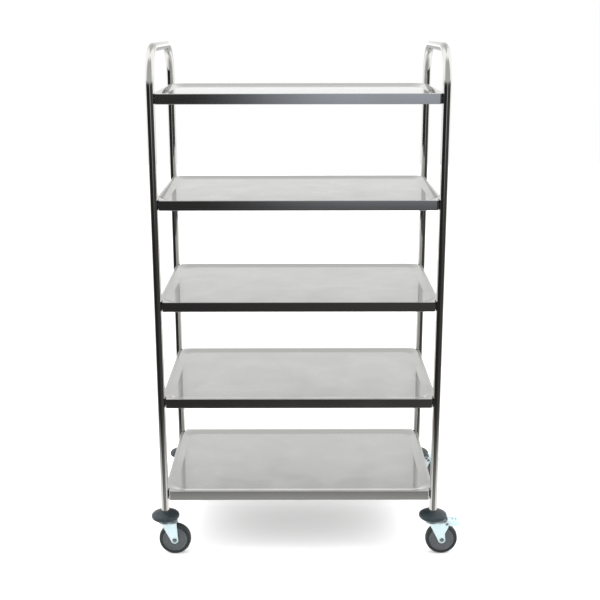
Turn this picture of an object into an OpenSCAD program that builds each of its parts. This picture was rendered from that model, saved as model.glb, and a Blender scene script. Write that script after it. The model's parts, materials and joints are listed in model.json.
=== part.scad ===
// Five-tier service trolley: two bent-tube end frames, five pressed trays
// between them and four swivel castors, two of which have a foot brake.
// Millimetres. Origin on the floor, midway between the four castor stems.
// +X to the right, +Y to the back, +Z up. The castors trail towards +X.

/* [Frame] */
// Width over the outside of the two end frames
frame_w = 860; // [600:1:1200]
// Depth over the outside of the legs
frame_d = 520; // [380:1:700]
// Height from the floor to the top of the push handles
frame_h = 1560; // [1250:1:1900]
// Outside diameter of the frame tube
tube_d = 25; // [20:0.5:32]
// Wall of the frame tube
tube_wall = 1.2; // [0.8:0.1:2]
// Centre-line radius of the handle bends
bend_r = 100; // [70:1:160]

/* [Trays] */
// Drop from the handle top to the rim of the top tray
top_tray_drop = 137; // [125:1:300]
// Height of the bottom tray's rim above the floor
bottom_tray_h = 213; // [200:1:260]
// Height of the outer lip
lip_h = 30; // [25:1:50]
// Sheet thickness of a tray
sheet_t = 1; // [0.8:0.1:1.5]
// Width of the flat rim round a tray
rim_w = 8.5; // [6:0.5:20]
// Horizontal run of the sloped wall inside the rim
slope_w = 24; // [12:0.5:32]
// Depth of the tray floor below the rim
recess = 6.5; // [4:0.5:12]
// Width of rim left between a leg's notch and the sloped wall
notch_land = 6; // [4:0.5:15]
// Corner radius of the outer lip
lip_r = 6; // [3:0.5:9]
// Width of the safety hem turned in under the lip
hem_w = 10; // [6:0.5:16]
// Step from the tube's front face back to the tray's lip
lip_setback = 1; // [0:0.5:4]
// Gap between a tray's notch and the leg in it, filled by the rivet nut's flange
side_gap = 1.2; // [1:0.1:3]

/* [Tray fixings] */
// Diameter of the tray bolts
bolt_d = 6; // [5:0.5:8]
// Drop from the rim to the bolt's axis
bolt_drop = 15; // [14:0.5:17]
// Head diameter of the tray bolts
bolt_head_d = 11; // [9:0.5:14]
// Head height of the tray bolts
bolt_head_h = 3.5; // [2.5:0.5:5]
// Barrel diameter of the rivet nuts
nut_d = 8.8; // [8:0.1:11]
// Length of the rivet nuts
nut_len = 11; // [8:0.5:12]
// Depth of the stiffener channel under each tray
channel_h = 16; // [10:0.5:17]
// Width of the stiffener channel's web
channel_w = 40; // [25:1:80]

/* [Castors] */
// Wheel diameter
wheel_d = 100; // [80:1:125]
// Width of the tyre's tread
tyre_w = 26; // [20:0.5:30]
// Outside diameter of the hub
hub_d = 76; // [60:1:78]
// Offset of the axle behind the stem
trail = 28; // [25:0.5:40]
// Diameter of the axle
axle_d = 8; // [6:0.5:10]
// Sheet thickness of the fork
fork_t = 2.5; // [2:0.1:3]
// Space between the tyre and each fork plate
fork_gap = 3; // [3:0.1:5]
// Height of the fork's crown over the tyre
crown_gap = 4; // [3.5:0.5:8]
// Diameter of the threaded stem
stem_d = 12; // [10:0.5:14]
// Length of the socket pressed into each leg
socket_len = 35; // [25:1:60]
// Diameter of a swivel ball
ball_d = 5; // [4:0.5:6]
// Pitch radius of the ball race
race_r = 15; // [14:0.5:18]
// Diameter of the round bumper
bumper_d = 87; // [80:1:110]
// Radius of the bumper's round edge
bumper_edge = 8; // [7:0.5:10]

/* [Brakes] */
// Travel of the brake pedal in degrees
brake_throw = 12; // [8:0.5:15]
// Length of the pedal past its pivot
pedal_len = 40; // [34:1:50]
// Height of the pedal's tread over its pivot
pedal_rise = 11.5; // [10:0.5:13]
// Diameter of the pivot rivet
brake_pin_d = 5; // [4:0.5:6]

/* [Hidden] */
$fn = 64;
TRAYS = ["bottom", "lower", "middle", "upper", "top"];
CORNERS = ["front_left", "front_right", "rear_left", "rear_right"];

// Clearances
run_gap = 0.05;  // a pin in the hole it turns in, all round
fit_gap = 0.3;   // a curved face beside its neighbour

// Frame
tube_r = tube_d / 2;
bore_r = tube_r - tube_wall;
post_x = frame_w / 2 - tube_r;
post_y = frame_d / 2 - tube_r;
bar_z = frame_h - tube_r;
bend_z = bar_z - bend_r;
bend_y = post_y - bend_r;

// Trays: the lip runs between the legs on all four sides, round a notch for each leg
tray_w = 2 * post_x;
tray_d = frame_d - 2 * lip_setback;
notch_x = post_x - tube_r - side_gap;
notch_y = post_y - tube_r - side_gap;
top_tray_h = frame_h - top_tray_drop;
tray_pitch = (top_tray_h - bottom_tray_h) / (len(TRAYS) - 1);
floor_w = tray_w - 2 * (rim_w + slope_w);
floor_d = tray_d - 2 * (rim_w + slope_w);
// how far the rim's inner edge passes the notch, and the corner radius that clears it
past_x = tray_w / 2 - rim_w - notch_x;
past_y = tray_d / 2 - rim_w - notch_y;
past = past_x + past_y + notch_land;
rim_r = ceil(past + sqrt(past * past - past_x * past_x - past_y * past_y + notch_land * notch_land));
floor_r = rim_r - slope_w;
hem_r = 2;
through = 0.5;                       // how far a cut runs into the hollow behind
bolt_hole_gap = 0.3;
nut_flange_t = 0.8;
nut_flange_r = nut_d / 2 + 2.1;
channel_t = 1.2;
channel_flange = 12;
channel_inset = 20;

// Castor heights, from the floor up
wheel_r = wheel_d / 2;
crown_z = wheel_d + crown_gap;
crown_top = crown_z + fork_t;
ball_r = ball_d / 2;
race_step = 1;                       // half the gap between the two races
lower_race_h = ball_r + fork_t - race_step;
ball_z = crown_top + fork_t + ball_r;
upper_race_z = ball_z + race_step;
race_roof = 4;                       // metal over the balls
seat_rise = 15;                      // height of the tube's seat in the bumper
stem_short = 4;                      // end of the stem below the socket's top
race_top = upper_race_z + ball_r + race_roof;
foot_z = race_top + seat_rise;
stem_top = foot_z + socket_len - stem_short;

// Castor widths
fork_in = tyre_w / 2 + fork_gap;
fork_out = fork_in + fork_t;
fork_bend = 4;
axle_r = axle_d / 2;
eye_r = axle_r + 7;
kingpin_r = 5;
race_out = race_r + ball_r + 2.5;
cup_t = 2;
crown_r = race_out + 3;
fork_front = trail + 7;
hub_r = hub_d / 2;
bush_r = axle_r + 2;

// Brake, about the wheel's centre
brake_lean = 15.5;                   // angle of the pivot forward of the wheel's top
brake_pin_rise = 6;                  // pivot's height over the tread
pivot_x = trail + (wheel_r + brake_pin_rise) * sin(brake_lean);
pivot_z = wheel_r + (wheel_r + brake_pin_rise) * cos(brake_lean);
brake_pin_r = brake_pin_d / 2;
cheek_t = 2;
cheek_out = fork_in - 0.6;
cheek_in = cheek_out - cheek_t;
shoe_gap = 0.35;                     // shoe to tread with the pedal down
tread_dip = 5;                       // slope of the released pedal, down towards its tip

function side_x(corner) = (corner % 2 == 0) ? -1 : 1;
function side_y(corner) = (corner < 2) ? -1 : 1;
function tray_z(level) = bottom_tray_h + level * tray_pitch;
// Points of an arc about (cx, cy) from angle a0 to a1
function arc(cx, cy, r, a0, a1, steps = 8) =
    [for (i = [0:steps]) let (a = a0 + (a1 - a0) * i / steps) [cx + r * cos(a), cy + r * sin(a)]];

module rounded_rect(w, d, r) {
    square([w - 2 * r, d], center = true);
    square([w, d - 2 * r], center = true);
    for (x = [-1, 1], y = [-1, 1]) translate([x * (w / 2 - r), y * (d / 2 - r)]) circle(r = r);
}

// ---- End frames ----

module tube_run(length) {
    difference() {
        cylinder(r = tube_r, h = length);
        translate([0, 0, -1]) cylinder(r = bore_r, h = length + 2);
    }
}

// Quarter bend in the YZ plane, from the leg's top to the bar's end
module tube_bend() {
    rotate([90, 0, 90]) rotate_extrude(angle = 90) translate([bend_r, 0]) difference() {
        circle(r = tube_r);
        circle(r = bore_r);
    }
}

module end_frame(side) {
    color("silver") difference() {
        translate([side * post_x, 0, 0]) union() {
            for (y = [-1, 1]) translate([0, y * post_y, foot_z]) tube_run(bend_z - foot_z);
            translate([0, bend_y, bend_z]) tube_bend();
            mirror([0, 1, 0]) translate([0, bend_y, bend_z]) tube_bend();
            translate([0, bend_y, bar_z]) rotate([90, 0, 0]) tube_run(2 * bend_y);
        }
        for (level = [0:len(TRAYS) - 1], y = [-1, 1])
            translate([side * post_x, y * post_y, tray_z(level) - bolt_drop])
                rotate([0, -side * 90, 0]) cylinder(r = nut_d / 2 + run_gap, h = tube_d);
    }
}

// ---- Trays ----

// Section of the sloped wall: distance in from the rim's inner edge, and height
wall_section = [[0, 0], [slope_w, -recess], [slope_w, -recess - sheet_t], [0, -sheet_t]];

module wall_run(length) {
    rotate([90, 0, 0]) translate([0, 0, -length / 2]) linear_extrude(length)
        polygon([for (p = wall_section) [-p[0], p[1]]]);
}

module wall_corner() {
    rotate_extrude(angle = 90) polygon([for (p = wall_section) [rim_r - p[0], p[1]]]);
}

module tray_wall() {
    edge_x = tray_w / 2 - rim_w;
    edge_y = tray_d / 2 - rim_w;
    for (a = [0, 180]) {
        rotate([0, 0, a]) translate([edge_x, 0, 0]) wall_run(2 * (edge_y - rim_r));
        rotate([0, 0, a + 90]) translate([edge_y, 0, 0]) wall_run(2 * (edge_x - rim_r));
    }
    for (x = [0, 1], y = [0, 1]) mirror([x, 0, 0]) mirror([0, y, 0])
        translate([edge_x - rim_r, edge_y - rim_r, 0]) wall_corner();
}

// Plan of a tray with its four notches, every edge moved in by step
module tray_plan(step, r) {
    rounded_rect(2 * (notch_x - step), tray_d - 2 * step, r);
    rounded_rect(tray_w - 2 * step, 2 * (notch_y - step), r);
}

module tray(level) {
    color("gainsboro") translate([0, 0, tray_z(level)]) difference() {
        union() {
            // lip, flat rim and safety hem, folded from one sheet
            difference() {
                translate([0, 0, -lip_h]) linear_extrude(lip_h) tray_plan(0, lip_r);
                translate([0, 0, sheet_t - lip_h]) linear_extrude(lip_h - 2 * sheet_t)
                    tray_plan(sheet_t, lip_r - sheet_t);
                translate([0, 0, -lip_h - 1]) linear_extrude(sheet_t + 1 + through)
                    tray_plan(hem_w, hem_r);
                translate([0, 0, -sheet_t - through]) linear_extrude(sheet_t + 1 + through)
                    rounded_rect(tray_w - 2 * rim_w, tray_d - 2 * rim_w, rim_r);
            }
            tray_wall();
            // floor
            translate([0, 0, -recess - sheet_t]) linear_extrude(sheet_t)
                rounded_rect(floor_w, floor_d, floor_r);
        }
        for (x = [-1, 1], y = [-1, 1]) translate([x * (notch_x + 1), y * post_y, -bolt_drop])
            rotate([0, -x * 90, 0]) cylinder(r = bolt_d / 2 + bolt_hole_gap, h = sheet_t + 2);
    }
}

// Hat-section channel welded along the middle of the tray's underside
module stiffener(level) {
    half = channel_w / 2;
    flange = half + channel_flange;
    length = floor_w - 2 * channel_inset;
    depth = channel_h;
    color("darkgray") translate([-length / 2, 0, tray_z(level) - recess - sheet_t])
        rotate([90, 0, 90]) linear_extrude(length) polygon([
            [-flange, 0], [-half, 0], [-half, channel_t - depth], [half, channel_t - depth],
            [half, 0], [flange, 0], [flange, -channel_t], [half + channel_t, -channel_t],
            [half + channel_t, -depth], [-half - channel_t, -depth],
            [-half - channel_t, -channel_t], [-flange, -channel_t]]);
}

// Every tray is bolted to each leg through the side of its notch, on the leg's centre line
module at_fixings() {
    for (level = [0:len(TRAYS) - 1], x = [-1, 1], y = [-1, 1])
        translate([x * notch_x, y * post_y, tray_z(level) - bolt_drop])
            rotate([0, x * 90, 0]) children();
}

module tray_bolts() {
    color("dimgray") at_fixings() {
        translate([0, 0, -sheet_t - bolt_head_h]) cylinder(r = bolt_head_d / 2, h = bolt_head_h);
        translate([0, 0, -sheet_t]) cylinder(r = bolt_d / 2, h = sheet_t + nut_len);
    }
}

module rivet_nuts() {
    color("goldenrod") at_fixings() difference() {
        union() {
            cylinder(r = nut_flange_r, h = nut_flange_t);
            cylinder(r = nut_d / 2, h = nut_len);
        }
        translate([0, 0, -1]) cylinder(r = bolt_d / 2 + run_gap, h = nut_len + 2);
    }
}

// ---- Castors, drawn about the stem's axis ----

module at_castor(corner) {
    translate([side_x(corner) * post_x, side_y(corner) * post_y, 0]) children();
}

// Along the axle, from the wheel's middle
module at_axle() {
    translate([trail, 0, wheel_r]) rotate([90, 0, 0]) children();
}

module socket() {
    color("dimgray") translate([0, 0, foot_z]) difference() {
        cylinder(r = bore_r - run_gap, h = socket_len);
        translate([0, 0, -1]) cylinder(r = stem_d / 2 + run_gap, h = socket_len + 2);
    }
}

// Threaded stem, ball cup and kingpin in one; the fork hangs on the kingpin's head
module stem() {
    head_r = kingpin_r + 3;
    head_h = 2.5;
    cup_h = race_top - crown_top - 1;
    color("lightsteelblue") difference() {
        union() {
            translate([0, 0, upper_race_z]) cylinder(r = stem_d / 2, h = stem_top - upper_race_z);
            translate([0, 0, upper_race_z])
                cylinder(r = race_out + fit_gap + cup_t, h = race_top - upper_race_z);
            translate([0, 0, race_top - cup_h]) difference() {
                cylinder(r = race_out + fit_gap + cup_t, h = cup_h);
                translate([0, 0, -1]) cylinder(r = race_out + fit_gap, h = cup_h + 2);
            }
            translate([0, 0, crown_z - fit_gap - head_h])
                cylinder(r = kingpin_r, h = upper_race_z - crown_z + fit_gap + head_h);
            translate([0, 0, crown_z - fit_gap - head_h]) cylinder(r = head_r, h = head_h);
        }
        translate([0, 0, ball_z]) rotate_extrude() translate([race_r, 0])
            circle(r = ball_r + run_gap);
    }
}

// Round edge that runs smoothly into a shallow dome, with a seat for the tube's foot
module bumper() {
    edge_end = 60;
    dome_end = 86;
    stem_hole = stem_d / 2 + fit_gap;
    foot_hole = tube_r + fit_gap;
    edge_x = bumper_d / 2 - bumper_edge;
    dome_r = (edge_x + bumper_edge * cos(edge_end) - foot_hole) / (cos(edge_end) - cos(dome_end));
    dome = arc(edge_x - (dome_r - bumper_edge) * cos(edge_end),
               bumper_edge - (dome_r - bumper_edge) * sin(edge_end), dome_r, edge_end, dome_end);
    profile = concat(
        [[stem_hole, 0], [edge_x - 2, 0]],
        arc(edge_x, bumper_edge, bumper_edge, -80, edge_end - 6, 10),
        dome,
        [[foot_hole, foot_z - race_top], [stem_hole, foot_z - race_top]]);
    color("darkslategray") translate([0, 0, race_top]) rotate_extrude() polygon(profile);
}

module balls() {
    count = floor(360 / (2 * asin((ball_r + 0.4) / race_r)));
    color("white") for (i = [0:count - 1]) rotate([0, 0, i * 360 / count])
        translate([race_r, 0, ball_z]) sphere(r = ball_r);
}

// Side outline of a fork plate, in X and Z
module fork_outline() {
    back = -8;
    shoulder = crown_top - 9;
    polygon([[back, crown_top], [back, shoulder], [trail - 0.85 * eye_r, wheel_r - 0.5 * eye_r],
             [trail + 0.96 * eye_r, wheel_r - 0.2 * eye_r], [fork_front, crown_top]]);
    translate([trail, wheel_r]) circle(r = eye_r);
}

// Ear on a braked fork's plate, which carries the pedal's pivot
module ear_outline() {
    ear_r = brake_pin_r + 4.5;
    translate([pivot_x, pivot_z]) circle(r = ear_r);
    polygon([[fork_front - 8, crown_top - fork_bend], [pivot_x - 2, pivot_z + 0.9 * ear_r],
             [pivot_x + 0.9 * ear_r, pivot_z - 2], [pivot_x + 4, pivot_z - 12],
             [fork_front + 2, wheel_r + 22], [fork_front - 8, wheel_r + 22]]);
}

// Section of the fork across the wheel, in Y and Z
module fork_section() {
    difference() {
        union() {
            translate([-fork_out, 0]) square([2 * fork_out, crown_top - fork_bend]);
            translate([fork_bend - fork_out, 0]) square([2 * (fork_out - fork_bend), crown_top]);
            for (y = [-1, 1]) translate([y * (fork_out - fork_bend), crown_top - fork_bend])
                circle(r = fork_bend);
        }
        translate([-fork_in, -1]) square([2 * fork_in, crown_z + 1]);
    }
}

module fork(braked) {
    color("lightcyan") difference() {
        union() {
            intersection() {
                translate([0, fork_out, 0]) rotate([90, 0, 0]) linear_extrude(2 * fork_out)
                    fork_outline();
                translate([-trail, 0, 0]) rotate([90, 0, 90]) linear_extrude(4 * trail)
                    fork_section();
            }
            if (braked) for (y = [fork_out, -fork_in]) translate([0, y, 0]) rotate([90, 0, 0])
                linear_extrude(fork_t) ear_outline();
            translate([0, 0, crown_z]) cylinder(r = crown_r, h = fork_t);
            translate([0, 0, crown_z]) cylinder(r = race_out, h = fork_t + lower_race_h);
        }
        // kingpin hole and ball groove
        translate([0, 0, crown_z - 1]) cylinder(r = kingpin_r + run_gap, h = 20);
        translate([0, 0, ball_z]) rotate_extrude() translate([race_r, 0])
            circle(r = ball_r + run_gap);
        // axle holes
        at_axle() cylinder(r = axle_r + run_gap, h = 2 * fork_out + 2, center = true);
        // brake pivot holes
        if (braked) translate([pivot_x, 0, pivot_z]) rotate([90, 0, 0])
            cylinder(r = brake_pin_r + run_gap, h = 2 * fork_out + 2, center = true);
    }
}

// Tubular rivet with a dished head on each side of the fork
module axle() {
    head_r = axle_r + 3;
    head_h = 1.6;
    dish = 3;
    color("lightgray") at_axle() difference() {
        union() {
            translate([0, 0, -fork_out]) cylinder(r = axle_r, h = 2 * fork_out);
            for (z = [-1, 1]) translate([0, 0, z * (fork_out + head_h / 2)])
                cylinder(r = head_r, h = head_h, center = true);
        }
        for (a = [0, 180]) rotate([a, 0, 0]) translate([0, 0, fork_out + head_h - dish])
            cylinder(r1 = 1.5, r2 = axle_r + 1, h = dish + 0.01);
    }
}

module bush() {
    length = 2 * (fork_in - fit_gap);
    color("slategray") at_axle() difference() {
        cylinder(r = bush_r, h = length, center = true);
        cylinder(r = axle_r + run_gap, h = length + 2, center = true);
    }
}

// Moulded hub: boss, dished web with two raised rings, and the rim under the tyre
module hub() {
    boss_r = bush_r + 6;
    boss_h = fork_in - 1;
    rim_h = tyre_w / 2 - 1.5;
    web_h = rim_h - 3;
    ring_in = hub_r - 9;
    half = [[bush_r + run_gap, boss_h], [boss_r, boss_h], [boss_r + 1, web_h],
            [ring_in - 3, web_h], [ring_in - 2, web_h + 1.5], [ring_in, web_h + 1.5],
            [ring_in + 1, web_h], [hub_r - 4, web_h], [hub_r - 3, rim_h], [hub_r, rim_h]];
    color("gray") at_axle() rotate_extrude() polygon(concat(
        half, [for (i = [len(half) - 1:-1:0]) [half[i][0], -half[i][1]]]));
}

module tyre() {
    half_w = tyre_w / 2;
    edge = 5;
    crown = 1.2;
    half = concat(
        [[hub_r + run_gap, half_w - 1], [hub_r + 1.5, half_w]],
        arc(wheel_r - crown - edge, half_w - edge, edge, 90, 15, 6),
        [[wheel_r - 0.3, half_w / 4], [wheel_r, 0]]);
    color("dimgray") at_axle() rotate_extrude() polygon(concat(
        half, [for (i = [len(half) - 2:-1:0]) [half[i][0], -half[i][1]]]));
}

// ---- Brakes ----

// From the pressed position, where the shoe meets the tread, to the released one
module released() {
    translate([pivot_x, 0, pivot_z]) rotate([0, -brake_throw, 0])
        translate([-pivot_x, 0, -pivot_z]) children();
}

// Side outline of a cheek, in X and Z about the pivot
module cheek_outline() {
    tip_z = pedal_rise - (pedal_len - 5) * tan(tread_dip);
    polygon([[-4, 2], [-2, pedal_rise - 4], [3, pedal_rise], [pedal_len - 2, tip_z],
             [pedal_len + 1, tip_z - 4], [pedal_len - 2, -7], [pedal_len - 10, -9],
             [12, -8.5], [4, -4]]);
    circle(r = brake_pin_r + 3);
}

module brake_pedal() {
    tread_t = 2;
    slots = [16, 26];
    slot_w = 5;
    slot_d = 14;
    overlap = 0.5;
    inner = 2 * (cheek_in + overlap);
    shoe_in = 2;
    shoe_out = 17;
    color("aliceblue") difference() {
        union() {
            for (y = [cheek_out, -cheek_in]) translate([pivot_x, y, pivot_z])
                rotate([90, 0, 0]) linear_extrude(cheek_t) cheek_outline();
            // tread plate with its two slots
            translate([pivot_x + 3, 0, pivot_z + pedal_rise]) rotate([0, tread_dip, 0]) difference() {
                translate([0, -inner / 2, -tread_t]) cube([pedal_len - 5, inner, tread_t]);
                for (x = slots) translate([x - 3, -slot_d / 2, -tread_t - 1])
                    cube([slot_w, slot_d, tread_t + 2]);
            }
            // shoe, shaped to the tread of the tyre
            released() difference() {
                translate([pivot_x + shoe_in, -inner / 2, pivot_z - 20])
                    cube([shoe_out - shoe_in, inner, 21]);
                at_axle() cylinder(r = wheel_r + shoe_gap, h = 4 * cheek_out, center = true);
            }
        }
        translate([pivot_x, 0, pivot_z]) rotate([90, 0, 0])
            cylinder(r = brake_pin_r + run_gap, h = 2 * fork_out, center = true);
    }
}

module brake_pin() {
    head_r = brake_pin_r + 1.8;
    head_h = 1.5;
    color("lightgray") translate([pivot_x, 0, pivot_z]) rotate([90, 0, 0]) {
        cylinder(r = brake_pin_r, h = 2 * fork_out, center = true);
        for (z = [-1, 1]) translate([0, 0, z * (fork_out + head_h / 2)])
            cylinder(r = head_r, h = head_h, center = true);
    }
}

// Leaf spring clenched to the crown; its free end lies on the shoe
module brake_spring() {
    leaf_t = 0.8;
    leaf_w = 12;
    start = crown_r + 3;
    bend = trail + 5;
    reach = pivot_x + 5;
    lift = 2;
    color("silver") translate([0, leaf_w / 2, crown_top]) rotate([90, 0, 0]) linear_extrude(leaf_w)
        polygon([[start, 0], [bend, 0], [reach, lift], [reach, lift + leaf_t],
                 [bend, leaf_t], [start, leaf_t]]);
}

end_frame(-1);  // left_end_frame
end_frame(1);  // right_end_frame
for (level = [0:len(TRAYS) - 1]) {
    tray(level);
    stiffener(level);
}
tray_bolts();
rivet_nuts();
for (corner = [0:len(CORNERS) - 1]) {
    name = CORNERS[corner];
    braked = side_x(corner) > 0;
    at_castor(corner) socket();
    at_castor(corner) stem();
    at_castor(corner) bumper();
    at_castor(corner) balls();
    at_castor(corner) fork(braked);
    at_castor(corner) axle();
    at_castor(corner) bush();
    at_castor(corner) hub();
    at_castor(corner) tyre();
    if (braked) {
        at_castor(corner) brake_pedal();
        at_castor(corner) brake_pin();
        at_castor(corner) brake_spring();
    }
}
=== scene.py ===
"""Five-tier service trolley: two bent-tube end frames, five pressed trays and four swivel castors.

Metres, +X to the right, +Y to the back, +Z up, origin on the floor midway between the castor stems.
"""
import json
import logging
import math
from dataclasses import dataclass, field
from enum import Enum
from typing import Any

import bpy
from mathutils import Matrix, Vector

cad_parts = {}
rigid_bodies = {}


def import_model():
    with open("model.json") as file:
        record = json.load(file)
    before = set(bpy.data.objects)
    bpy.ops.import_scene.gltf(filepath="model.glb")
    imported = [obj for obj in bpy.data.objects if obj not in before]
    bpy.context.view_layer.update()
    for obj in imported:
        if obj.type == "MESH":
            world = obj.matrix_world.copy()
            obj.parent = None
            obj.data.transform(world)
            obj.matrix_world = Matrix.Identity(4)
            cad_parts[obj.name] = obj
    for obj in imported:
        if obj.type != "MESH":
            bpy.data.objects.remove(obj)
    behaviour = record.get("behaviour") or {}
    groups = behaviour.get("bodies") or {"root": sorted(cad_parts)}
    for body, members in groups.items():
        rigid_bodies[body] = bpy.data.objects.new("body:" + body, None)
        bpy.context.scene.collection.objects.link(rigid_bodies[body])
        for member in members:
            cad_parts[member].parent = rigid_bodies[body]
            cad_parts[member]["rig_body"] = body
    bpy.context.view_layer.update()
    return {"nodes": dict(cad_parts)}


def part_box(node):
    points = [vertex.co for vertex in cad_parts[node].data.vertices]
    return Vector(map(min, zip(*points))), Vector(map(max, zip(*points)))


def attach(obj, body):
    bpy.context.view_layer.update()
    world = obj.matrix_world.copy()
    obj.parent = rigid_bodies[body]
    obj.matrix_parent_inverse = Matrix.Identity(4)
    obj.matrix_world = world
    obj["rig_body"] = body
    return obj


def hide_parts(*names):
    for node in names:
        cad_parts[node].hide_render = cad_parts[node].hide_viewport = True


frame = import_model()

Point2 = tuple[float, float]
Colour = tuple[float, float, float, float]
Faces = list[tuple[int, ...]]
LOG = logging.getLogger("trolley")
MM = 0.001
# a lathe's points on its own axis stand a hair off it, so that no two of them meet
ON_AXIS = 0.0001 * MM


class Side(Enum):
    """The two ends of the trolley."""

    LEFT = -1
    RIGHT = 1


class Level(Enum):
    """The five trays, from the floor up."""

    BOTTOM = "bottom"
    LOWER = "lower"
    MIDDLE = "middle"
    UPPER = "upper"
    TOP = "top"


class Corner(Enum):
    """The four castors."""

    FRONT_LEFT = "front_left"
    FRONT_RIGHT = "front_right"
    REAR_LEFT = "rear_left"
    REAR_RIGHT = "rear_right"

    @property
    def braked(self) -> bool:
        """True where the castor has a foot brake."""
        return self.value.endswith("right")


class Grain(Enum):
    """Which way the polishing lines run, as a stretch of the pattern along X, Y and Z."""

    ALONG_X = (0.02, 1.0, 1.0)
    ROUND_TUBE = (0.25, 0.25, 1.0)


class Along(Enum):
    """What a direction of the surroundings is measured by."""

    HEIGHT = "how far up it points"
    RIGHT = "how far to the right it bears"
    BACK = "how far back it bears"
    ASIDE = "the square of how far it bears to either side"


# ---- Colour and nodes ----


def linear(hex_colour: str) -> Colour:
    """Turns an sRGB colour into the linear one that shaders take.

    Args:
        hex_colour: Six hexadecimal digits, without a leading mark.

    Returns:
        Red, green, blue and an alpha of one.
    """
    parts = [int(hex_colour[i:i + 2], 16) / 255 for i in (0, 2, 4)]
    lin = [p / 12.92 if p <= 0.04045 else ((p + 0.055) / 1.055) ** 2.4 for p in parts]
    return (lin[0], lin[1], lin[2], 1.0)


def grey(level: float) -> Colour:
    """A neutral light of a linear level."""
    return (level, level, level, 1.0)


def add_node(
    tree: bpy.types.NodeTree, kind: str, settings: dict[str, Any], inputs: dict[Any, Any]
) -> bpy.types.Node:
    """Adds one node with its settings, values and links.

    Args:
        tree: The node tree to add to.
        kind: The node's type.
        settings: Attribute names and values.
        inputs: Input names or numbers, each with a value or an output socket to link.

    Returns:
        The new node.
    """
    node = tree.nodes.new(kind)
    for key, value in settings.items():
        setattr(node, key, value)
    for key, value in inputs.items():
        if isinstance(value, bpy.types.NodeSocket):
            tree.links.new(value, node.inputs[key])
        else:
            node.inputs[key].default_value = value
    return node


def new_material(name: str) -> tuple[bpy.types.Material, bpy.types.NodeTree, bpy.types.Node]:
    """Starts a material with a Principled shader and its output.

    Args:
        name: What the material is.

    Returns:
        The material, its node tree and the shader.
    """
    material = bpy.data.materials.new(name)
    material.use_nodes = True
    tree = material.node_tree
    tree.nodes.clear()
    shader = add_node(tree, "ShaderNodeBsdfPrincipled", {}, {})
    add_node(tree, "ShaderNodeOutputMaterial", {}, {"Surface": shader.outputs["BSDF"]})
    return material, tree, shader


def edge_mask(tree: bpy.types.NodeTree, width: float) -> bpy.types.NodeSocket:
    """Finds the outer edges, where handling wears a surface first.

    Args:
        tree: The material's node tree.
        width: How far the wear reaches from an edge, in metres.

    Returns:
        A socket that is zero on flat ground and rises to one at an edge.
    """
    geometry = add_node(tree, "ShaderNodeNewGeometry", {}, {})
    rounded = add_node(tree, "ShaderNodeBevel", {"samples": 4}, {"Radius": width})
    agree = add_node(tree, "ShaderNodeVectorMath", {"operation": "DOT_PRODUCT"},
                     {0: geometry.outputs["Normal"], 1: rounded.outputs["Normal"]})
    mask = add_node(tree, "ShaderNodeMapRange", {},
                    {"Value": agree.outputs["Value"], "From Min": 0.985, "From Max": 0.86,
                     "To Min": 0.0, "To Max": 1.0})
    return mask.outputs["Result"]


def worn_colour(
    tree: bpy.types.NodeTree, pattern: bpy.types.NodeSocket, tints: tuple[str, str], worn: str,
    reach: float
) -> bpy.types.NodeSocket:
    """Mixes a finish's two tints by a pattern, and lays its worn tint along the edges.

    Args:
        tree: The material's node tree.
        pattern: Where the second tint shows.
        tints: The two tints.
        worn: The tint of worn edges.
        reach: How far the wear reaches from an edge, in metres.

    Returns:
        The finish's colour.
    """
    tint = add_node(tree, "ShaderNodeMix", {"data_type": "RGBA"},
                    {"Factor": pattern, 6: linear(tints[0]), 7: linear(tints[1])})
    mixed = add_node(tree, "ShaderNodeMix", {"data_type": "RGBA"},
                     {"Factor": edge_mask(tree, reach), 6: tint.outputs[2], 7: linear(worn)})
    return mixed.outputs[2]


# ---- Finishes ----


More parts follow.
